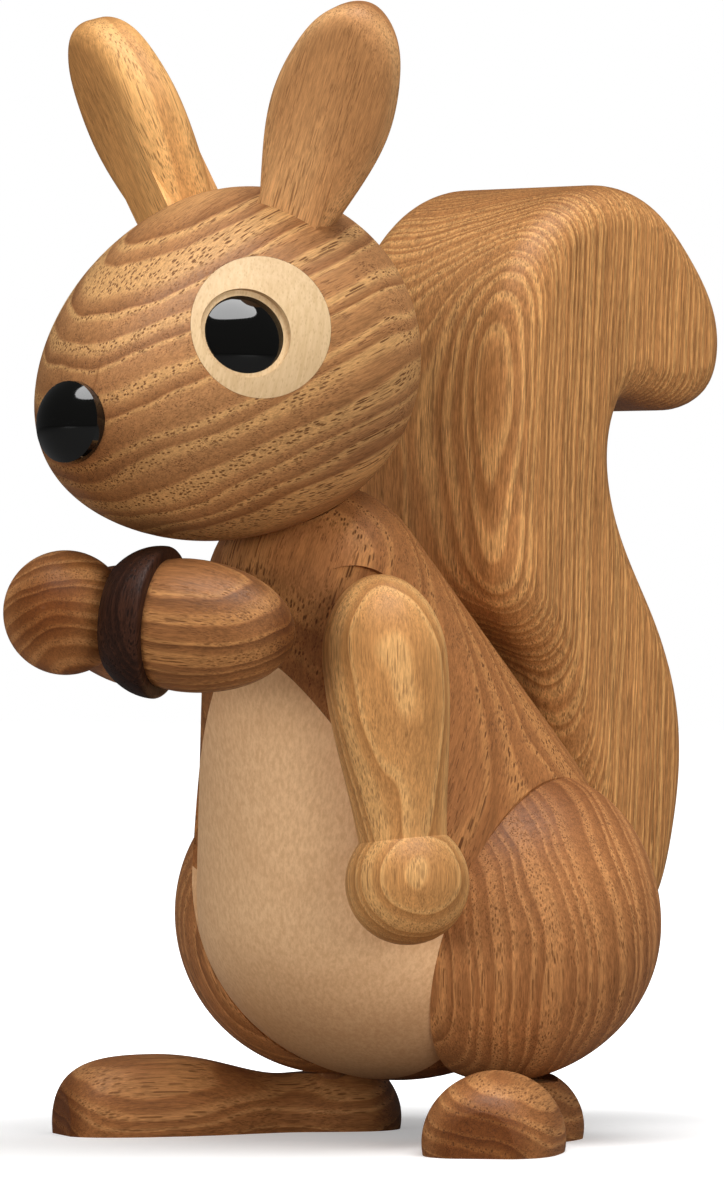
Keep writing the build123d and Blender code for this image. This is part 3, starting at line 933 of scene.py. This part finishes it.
def layFloor(look):
    bpy.ops.mesh.primitive_plane_add(size=look["size"], location=(0, 0, 0))
    floor = bpy.context.object
    floor.name = "studio floor"
    material = bpy.data.materials.new("pale floor")
    material.use_nodes = True
    tree = material.node_tree
    shader = tree.nodes["Principled BSDF"]
    place = tree.nodes.new("ShaderNodeTexCoord").outputs["Object"]
    grit = cloudNoise(tree, place, look["gritScale"]).outputs["Fac"]
    matt = softStep(tree, grit, *look["gritRange"], *look["matt"])
    fill(tree, shader.inputs["Roughness"], matt)
    shader.inputs["Specular IOR Level"].default_value = look["sheen"]
    # the camera sees a paler floor that fades into the white behind it, and the gloss a darker one
    path = tree.nodes.new("ShaderNodeLightPath").outputs
    bounced = mixTones(tree, path["Is Glossy Ray"], look["bounceTone"], look["glossTone"])
    shown = mixTones(tree, path["Is Camera Ray"], bounced, look["tone"])
    fill(tree, shader.inputs["Base Color"], shown)
    away = tree.nodes.new("ShaderNodeVectorMath")
    away.operation = "LENGTH"
    fill(tree, away.inputs[0], place)
    cleared = softStep(
        tree,
        away.outputs["Value"],
        look["clearFrom"],
        look["clearBy"],
        look["lift"],
        look["clearLift"],
    )
    shader.inputs["Emission Color"].default_value = (1, 1, 1, 1)
    glow = times(tree, path["Is Camera Ray"], cleared)
    fill(tree, shader.inputs["Emission Strength"], glow)
    floor.data.materials.append(material)


layFloor(floorLook)

lightLook = {
    "world": 0.24,
    "worldInGloss": 0.05,
    "aim": (0.0, 0.0, 0.08),
    "overhead": {
        "place": (0.25, -0.15, 1.15),
        "width": 1.3,
        "height": 0.8,
        "power": 14.0,
        "inGloss": True,
    },
    "frontFill": {
        "place": (0.0, -1.25, 0.1),
        "width": 0.6,
        "height": 0.5,
        "power": 6.8,
        "inGloss": False,
    },
    "rightFill": {
        "place": (1.25, -0.35, 0.3),
        "width": 0.8,
        "height": 0.8,
        "power": 7.5,
        "inGloss": False,
    },
}


def hangSoftbox(name, look, aim):
    light = bpy.data.lights.new(name, "AREA")
    light.shape = "ELLIPSE"
    light.size = look["width"]
    light.size_y = look["height"]
    light.energy = look["power"]
    lamp = bpy.data.objects.new(name, light)
    lamp.location = look["place"]
    lamp.visible_glossy = look["inGloss"]
    sight = Vector(aim) - Vector(look["place"])
    lamp.rotation_euler = sight.to_track_quat("-Z", "Y").to_euler()
    bpy.context.scene.collection.objects.link(lamp)


for lampName in ("overhead", "frontFill", "rightFill"):
    hangSoftbox(lampName, lightLook[lampName], lightLook["aim"])

world = bpy.data.worlds.new("studio")
world.use_nodes = True
bpy.context.scene.world = world
skyTree = world.node_tree
sky = skyTree.nodes["Background"]
sky.inputs["Color"].default_value = (1, 1, 1, 1)
skyPath = skyTree.nodes.new("ShaderNodeLightPath").outputs
glossDrop = lightLook["worldInGloss"] - lightLook["world"]
skySoft = timesPlus(skyTree, skyPath["Is Glossy Ray"], glossDrop, lightLook["world"])
skySeen = reckon(skyTree, "MAXIMUM", skySoft, skyPath["Is Camera Ray"])
fill(skyTree, sky.inputs["Strength"], skySeen)
print("Studio lit")

cameraLook = {
    "turn": 40.0,  # degrees from straight in front, towards the squirrel's left
    "distance": 1.2,
    "aimAt": (0.0, 0.00056, 0.08105),
    "lens": 239.4,
    "sensor": 36,
}
turn = math.radians(cameraLook["turn"])
outwards = Vector((math.sin(turn), -math.cos(turn), 0))
camera = bpy.data.objects.new("camera", bpy.data.cameras.new("camera"))
camera.data.sensor_width = cameraLook["sensor"]
camera.data.sensor_fit = "AUTO"
camera.data.lens = cameraLook["lens"]
camera.location = Vector(cameraLook["aimAt"]) + outwards * cameraLook["distance"]
camera.rotation_euler = (-outwards).to_track_quat("-Z", "Y").to_euler()
bpy.context.scene.collection.objects.link(camera)
bpy.context.scene.camera = camera
bpy.context.scene.view_settings.view_transform = "Standard"
print("Camera set")
